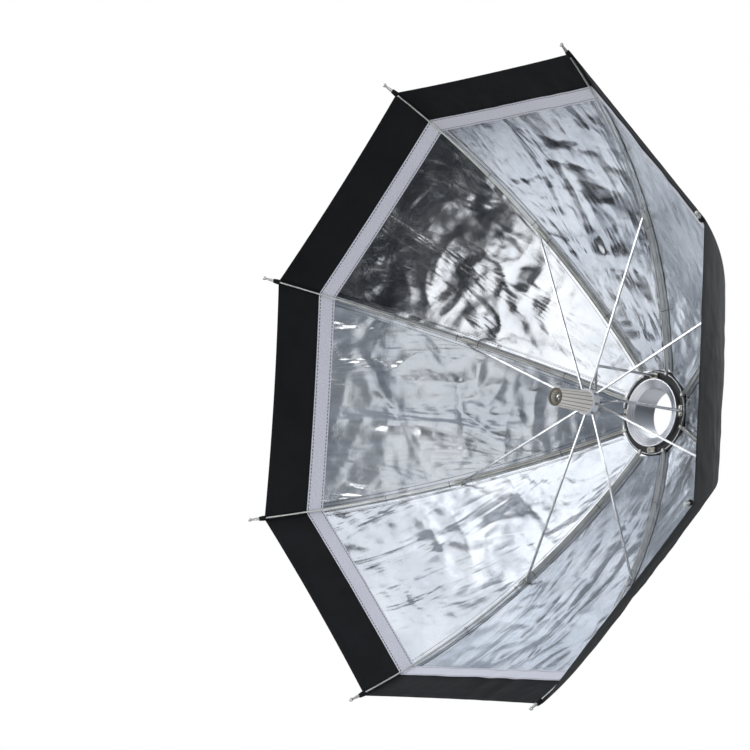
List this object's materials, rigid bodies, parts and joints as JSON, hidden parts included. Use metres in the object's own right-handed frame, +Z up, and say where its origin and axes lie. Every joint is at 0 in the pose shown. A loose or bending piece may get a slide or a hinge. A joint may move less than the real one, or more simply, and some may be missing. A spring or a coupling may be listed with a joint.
{
  "type": "folding octagonal softbox",
  "caption": "Folding octagonal softbox with curved ribs, a push-in hub on bent rods, a silver lined cloth cover and a round bayonet mount.",
  "frame": {"origin": "middle of the mount's bore at its rear seat face", "axes": "+Y is the mount's axis, out of the rear of the bore, so the mouth faces -Y; +Z is up and the octagon stands on a flat; +X is to the right seen from the mouth"},
  "size_m": [1.1158, 0.5566, 1.1158],
  "materials": {
    "bright_aluminium": "turned and brushed",
    "plated_steel": "nickel plated wire and pressings",
    "black_crown": "satin black powder coat",
    "screw_steel": "zinc plated",
    "spring_steel": "bare spring wire",
    "grip_metal": "fluted, warm nickel finish",
    "button_metal": "polished",
    "white_collar": "moulded white nylon",
    "rib_steel": "rolled channel and wire, nickel plated",
    "black_nylon": "hemmed black nylon",
    "cover_cloth": "silver lined black nylon with a pale tape and a black rim"
  },
  "bodies": {
    "root": {"mount_tube": "bright_aluminium", "mount_flange": "bright_aluminium", "bayonet_lugs": "plated_steel", "crown_ring": "black_crown", "hinge_wire": "plated_steel", "bezel_ring": "bright_aluminium", "clamp_plates": "black_crown", "clamp_screws": "screw_steel", "cloth_band": "black_nylon", "hub_rods": "plated_steel", "hub_body": "plated_steel", "hub_screws": "screw_steel", "hub_post": "grip_metal", "button_spring": "spring_steel"},
    "runner": {"runner_collar": "white_collar", "stretcher_pins": "screw_steel", "barrel_grip": "grip_metal"},
    "button": {"release_button": "button_metal"},
    "rib_1": {"rib_channel_1": "rib_steel", "rib_wire_1": "rib_steel"},
    "flap_before_1": {"cover_before_1": "cover_cloth"},
    "flap_after_1": {"cover_after_1": "cover_cloth"},
    "stretcher_1": {"stretcher_1": "rib_steel"},
    "rib_2": {"rib_channel_2": "rib_steel", "rib_wire_2": "rib_steel"},
    "flap_before_2": {"cover_before_2": "cover_cloth"},
    "flap_after_2": {"cover_after_2": "cover_cloth"},
    "stretcher_2": {"stretcher_2": "rib_steel"},
    "rib_3": {"rib_channel_3": "rib_steel", "rib_wire_3": "rib_steel"},
    "flap_before_3": {"cover_before_3": "cover_cloth"},
    "flap_after_3": {"cover_after_3": "cover_cloth"},
    "stretcher_3": {"stretcher_3": "rib_steel"},
    "rib_4": {"rib_channel_4": "rib_steel", "rib_wire_4": "rib_steel"},
    "flap_before_4": {"cover_before_4": "cover_cloth"},
    "flap_after_4": {"cover_after_4": "cover_cloth"},
    "stretcher_4": {"stretcher_4": "rib_steel"},
    "rib_5": {"rib_channel_5": "rib_steel", "rib_wire_5": "rib_steel"},
    "flap_before_5": {"cover_before_5": "cover_cloth"},
    "flap_after_5": {"cover_after_5": "cover_cloth"},
    "stretcher_5": {"stretcher_5": "rib_steel"},
    "rib_6": {"rib_channel_6": "rib_steel", "rib_wire_6": "rib_steel"},
    "flap_before_6": {"cover_before_6": "cover_cloth"},
    "flap_after_6": {"cover_after_6": "cover_cloth"},
    "stretcher_6": {"stretcher_6": "rib_steel"},
    "rib_7": {"rib_channel_7": "rib_steel", "rib_wire_7": "rib_steel"},
    "flap_before_7": {"cover_before_7": "cover_cloth"},
    "flap_after_7": {"cover_after_7": "cover_cloth"},
    "stretcher_7": {"stretcher_7": "rib_steel"},
    "rib_8": {"rib_channel_8": "rib_steel", "rib_wire_8": "rib_steel"},
    "flap_before_8": {"cover_before_8": "cover_cloth"},
    "flap_after_8": {"cover_after_8": "cover_cloth"},
    "stretcher_8": {"stretcher_8": "rib_steel"}
  },
  "joints": [
    {"name": "runner_slide", "type": "slide", "parent": "root", "child": "runner", "axis": [0, -1, 0], "range_m": [0, 0.4553]},
    {"name": "button_press", "type": "slide", "parent": "root", "child": "button", "axis": [0, 1, 0], "range_m": [0, 0.004], "stiffness_N_per_m": 400, "deforming": ["button_spring"]},
    {"name": "rib_fold_1", "type": "hinge", "parent": "root", "child": "rib_1", "pos_m": [0.02908, -0.05, 0.07021], "axis": [0.9239, 0, -0.3827], "range_deg": [0, 46]},
    {"name": "flap_after_1_crease", "type": "hinge", "parent": "rib_1", "child": "flap_after_1", "pos_m": [0.16618, -0.286, 0.24441], "axis": [-0.4296, 0.7617, -0.485], "range_deg": [0, 42.9], "deforming": ["cover_after_1"]},
    {"name": "flap_before_1_crease", "type": "hinge", "parent": "rib_1", "child": "flap_before_1", "pos_m": [0.05532, -0.286, 0.29033], "axis": [0.0391, -0.7617, 0.6467], "range_deg": [0, 42.9], "deforming": ["cover_before_1"]},
    {"name": "stretcher_turn_1", "type": "hinge", "parent": "runner", "child": "stretcher_1", "pos_m": [0.00765, -0.221, 0.01848], "axis": [-0.9239, 0, 0.3827], "range_deg": [0, 71.05]},
    {"name": "rib_fold_2", "type": "hinge", "parent": "root", "child": "rib_2", "pos_m": [-0.02908, -0.05, 0.07021], "axis": [0.9239, 0, 0.3827], "range_deg": [0, 46]},
    {"name": "flap_after_2_crease", "type": "hinge", "parent": "rib_2", "child": "flap_after_2", "pos_m": [-0.05532, -0.286, 0.29033], "axis": [0.0391, 0.7617, -0.6467], "range_deg": [0, 42.9], "deforming": ["cover_after_2"]},
    {"name": "flap_before_2_crease", "type": "hinge", "parent": "rib_2", "child": "flap_before_2", "pos_m": [-0.16618, -0.286, 0.24441], "axis": [-0.4296, -0.7617, 0.485], "range_deg": [0, 42.9], "deforming": ["cover_before_2"]},
    {"name": "stretcher_turn_2", "type": "hinge", "parent": "runner", "child": "stretcher_2", "pos_m": [-0.00765, -0.221, 0.01848], "axis": [-0.9239, 0, -0.3827], "range_deg": [0, 71.05]},
    {"name": "rib_fold_3", "type": "hinge", "parent": "root", "child": "rib_3", "pos_m": [-0.07021, -0.05, 0.02908], "axis": [0.3827, 0, 0.9239], "range_deg": [0, 46]},
    {"name": "flap_after_3_crease", "type": "hinge", "parent": "rib_3", "child": "flap_after_3", "pos_m": [-0.24441, -0.286, 0.16618], "axis": [0.485, 0.7617, -0.4296], "range_deg": [0, 42.9], "deforming": ["cover_after_3"]},
    {"name": "flap_before_3_crease", "type": "hinge", "parent": "rib_3", "child": "flap_before_3", "pos_m": [-0.29033, -0.286, 0.05532], "axis": [-0.6467, -0.7617, 0.0391], "range_deg": [0, 42.9], "deforming": ["cover_before_3"]},
    {"name": "stretcher_turn_3", "type": "hinge", "parent": "runner", "child": "stretcher_3", "pos_m": [-0.01848, -0.221, 0.00765], "axis": [-0.3827, 0, -0.9239], "range_deg": [0, 71.05]},
    {"name": "rib_fold_4", "type": "hinge", "parent": "root", "child": "rib_4", "pos_m": [-0.07021, -0.05, -0.02908], "axis": [-0.3827, 0, 0.9239], "range_deg": [0, 46]},
    {"name": "flap_after_4_crease", "type": "hinge", "parent": "rib_4", "child": "flap_after_4", "pos_m": [-0.29033, -0.286, -0.05532], "axis": [0.6467, 0.7617, 0.0391], "range_deg": [0, 42.9], "deforming": ["cover_after_4"]},
    {"name": "flap_before_4_crease", "type": "hinge", "parent": "rib_4", "child": "flap_before_4", "pos_m": [-0.24441, -0.286, -0.16618], "axis": [-0.485, -0.7617, -0.4296], "range_deg": [0, 42.9], "deforming": ["cover_before_4"]},
    {"name": "stretcher_turn_4", "type": "hinge", "parent": "runner", "child": "stretcher_4", "pos_m": [-0.01848, -0.221, -0.00765], "axis": [0.3827, 0, -0.9239], "range_deg": [0, 71.05]},
    {"name": "rib_fold_5", "type": "hinge", "parent": "root", "child": "rib_5", "pos_m": [-0.02908, -0.05, -0.07021], "axis": [-0.9239, 0, 0.3827], "range_deg": [0, 46]},
    {"name": "flap_after_5_crease", "type": "hinge", "parent": "rib_5", "child": "flap_after_5", "pos_m": [-0.16618, -0.286, -0.24441], "axis": [0.4296, 0.7617, 0.485], "range_deg": [0, 42.9], "deforming": ["cover_after_5"]},
    {"name": "flap_before_5_crease", "type": "hinge", "parent": "rib_5", "child": "flap_before_5", "pos_m": [-0.05532, -0.286, -0.29033], "axis": [-0.0391, -0.7617, -0.6467], "range_deg": [0, 42.9], "deforming": ["cover_before_5"]},
    {"name": "stretcher_turn_5", "type": "hinge", "parent": "runner", "child": "stretcher_5", "pos_m": [-0.00765, -0.221, -0.01848], "axis": [0.9239, 0, -0.3827], "range_deg": [0, 71.05]},
    {"name": "rib_fold_6", "type": "hinge", "parent": "root", "child": "rib_6", "pos_m": [0.02908, -0.05, -0.07021], "axis": [-0.9239, 0, -0.3827], "range_deg": [0, 46]},
    {"name": "flap_after_6_crease", "type": "hinge", "parent": "rib_6", "child": "flap_after_6", "pos_m": [0.05532, -0.286, -0.29033], "axis": [-0.0391, 0.7617, 0.6467], "range_deg": [0, 42.9], "deforming": ["cover_after_6"]},
    {"name": "flap_before_6_crease", "type": "hinge", "parent": "rib_6", "child": "flap_before_6", "pos_m": [0.16618, -0.286, -0.24441], "axis": [0.4296, -0.7617, -0.485], "range_deg": [0, 42.9], "deforming": ["cover_before_6"]},
    {"name": "stretcher_turn_6", "type": "hinge", "parent": "runner", "child": "stretcher_6", "pos_m": [0.00765, -0.221, -0.01848], "axis": [0.9239, 0, 0.3827], "range_deg": [0, 71.05]},
    {"name": "rib_fold_7", "type": "hinge", "parent": "root", "child": "rib_7", "pos_m": [0.07021, -0.05, -0.02908], "axis": [-0.3827, 0, -0.9239], "range_deg": [0, 46]},
    {"name": "flap_after_7_crease", "type": "hinge", "parent": "rib_7", "child": "flap_after_7", "pos_m": [0.24441, -0.286, -0.16618], "axis": [-0.485, 0.7617, 0.4296], "range_deg": [0, 42.9], "deforming": ["cover_after_7"]},
    {"name": "flap_before_7_crease", "type": "hinge", "parent": "rib_7", "child": "flap_before_7", "pos_m": [0.29033, -0.286, -0.05532], "axis": [0.6467, -0.7617, -0.0391], "range_deg": [0, 42.9], "deforming": ["cover_before_7"]},
    {"name": "stretcher_turn_7", "type": "hinge", "parent": "runner", "child": "stretcher_7", "pos_m": [0.01848, -0.221, -0.00765], "axis": [0.3827, 0, 0.9239], "range_deg": [0, 71.05]},
    {"name": "rib_fold_8", "type": "hinge", "parent": "root", "child": "rib_8", "pos_m": [0.07021, -0.05, 0.02908], "axis": [0.3827, 0, -0.9239], "range_deg": [0, 46]},
    {"name": "flap_after_8_crease", "type": "hinge", "parent": "rib_8", "child": "flap_after_8", "pos_m": [0.29033, -0.286, 0.05532], "axis": [-0.6467, 0.7617, -0.0391], "range_deg": [0, 42.9], "deforming": ["cover_after_8"]},
    {"name": "flap_before_8_crease", "type": "hinge", "parent": "rib_8", "child": "flap_before_8", "pos_m": [0.24441, -0.286, 0.16618], "axis": [0.485, -0.7617, 0.4296], "range_deg": [0, 42.9], "deforming": ["cover_before_8"]},
    {"name": "stretcher_turn_8", "type": "hinge", "parent": "runner", "child": "stretcher_8", "pos_m": [0.01848, -0.221, 0.00765], "axis": [-0.3827, 0, 0.9239], "range_deg": [0, 71.05]}
  ],
  "couplings": [
    {"joint": "flap_after_1_crease", "follows": "runner_slide", "rad_per_m": 1.6445},
    {"joint": "flap_before_1_crease", "follows": "runner_slide", "rad_per_m": 1.6445},
    {"joint": "rib_fold_1", "follows": "runner_slide", "rad_per_m": 1.7633},
    {"joint": "stretcher_turn_1", "follows": "runner_slide", "rad_per_m": 2.7231},
    {"joint": "flap_after_2_crease", "follows": "runner_slide", "rad_per_m": 1.6445},
    {"joint": "flap_before_2_crease", "follows": "runner_slide", "rad_per_m": 1.6445},
    {"joint": "rib_fold_2", "follows": "runner_slide", "rad_per_m": 1.7633},
    {"joint": "stretcher_turn_2", "follows": "runner_slide", "rad_per_m": 2.7231},
    {"joint": "flap_after_3_crease", "follows": "runner_slide", "rad_per_m": 1.6445},
    {"joint": "flap_before_3_crease", "follows": "runner_slide", "rad_per_m": 1.6445},
    {"joint": "rib_fold_3", "follows": "runner_slide", "rad_per_m": 1.7633},
    {"joint": "stretcher_turn_3", "follows": "runner_slide", "rad_per_m": 2.7231},
    {"joint": "flap_after_4_crease", "follows": "runner_slide", "rad_per_m": 1.6445},
    {"joint": "flap_before_4_crease", "follows": "runner_slide", "rad_per_m": 1.6445},
    {"joint": "rib_fold_4", "follows": "runner_slide", "rad_per_m": 1.7633},
    {"joint": "stretcher_turn_4", "follows": "runner_slide", "rad_per_m": 2.7231},
    {"joint": "flap_after_5_crease", "follows": "runner_slide", "rad_per_m": 1.6445},
    {"joint": "flap_before_5_crease", "follows": "runner_slide", "rad_per_m": 1.6445},
    {"joint": "rib_fold_5", "follows": "runner_slide", "rad_per_m": 1.7633},
    {"joint": "stretcher_turn_5", "follows": "runner_slide", "rad_per_m": 2.7231},
    {"joint": "flap_after_6_crease", "follows": "runner_slide", "rad_per_m": 1.6445},
    {"joint": "flap_before_6_crease", "follows": "runner_slide", "rad_per_m": 1.6445},
    {"joint": "rib_fold_6", "follows": "runner_slide", "rad_per_m": 1.7633},
    {"joint": "stretcher_turn_6", "follows": "runner_slide", "rad_per_m": 2.7231},
    {"joint": "flap_after_7_crease", "follows": "runner_slide", "rad_per_m": 1.6445},
    {"joint": "flap_before_7_crease", "follows": "runner_slide", "rad_per_m": 1.6445},
    {"joint": "rib_fold_7", "follows": "runner_slide", "rad_per_m": 1.7633},
    {"joint": "stretcher_turn_7", "follows": "runner_slide", "rad_per_m": 2.7231},
    {"joint": "flap_after_8_crease", "follows": "runner_slide", "rad_per_m": 1.6445},
    {"joint": "flap_before_8_crease", "follows": "runner_slide", "rad_per_m": 1.6445},
    {"joint": "rib_fold_8", "follows": "runner_slide", "rad_per_m": 1.7633},
    {"joint": "stretcher_turn_8", "follows": "runner_slide", "rad_per_m": 2.7231}
  ]
}
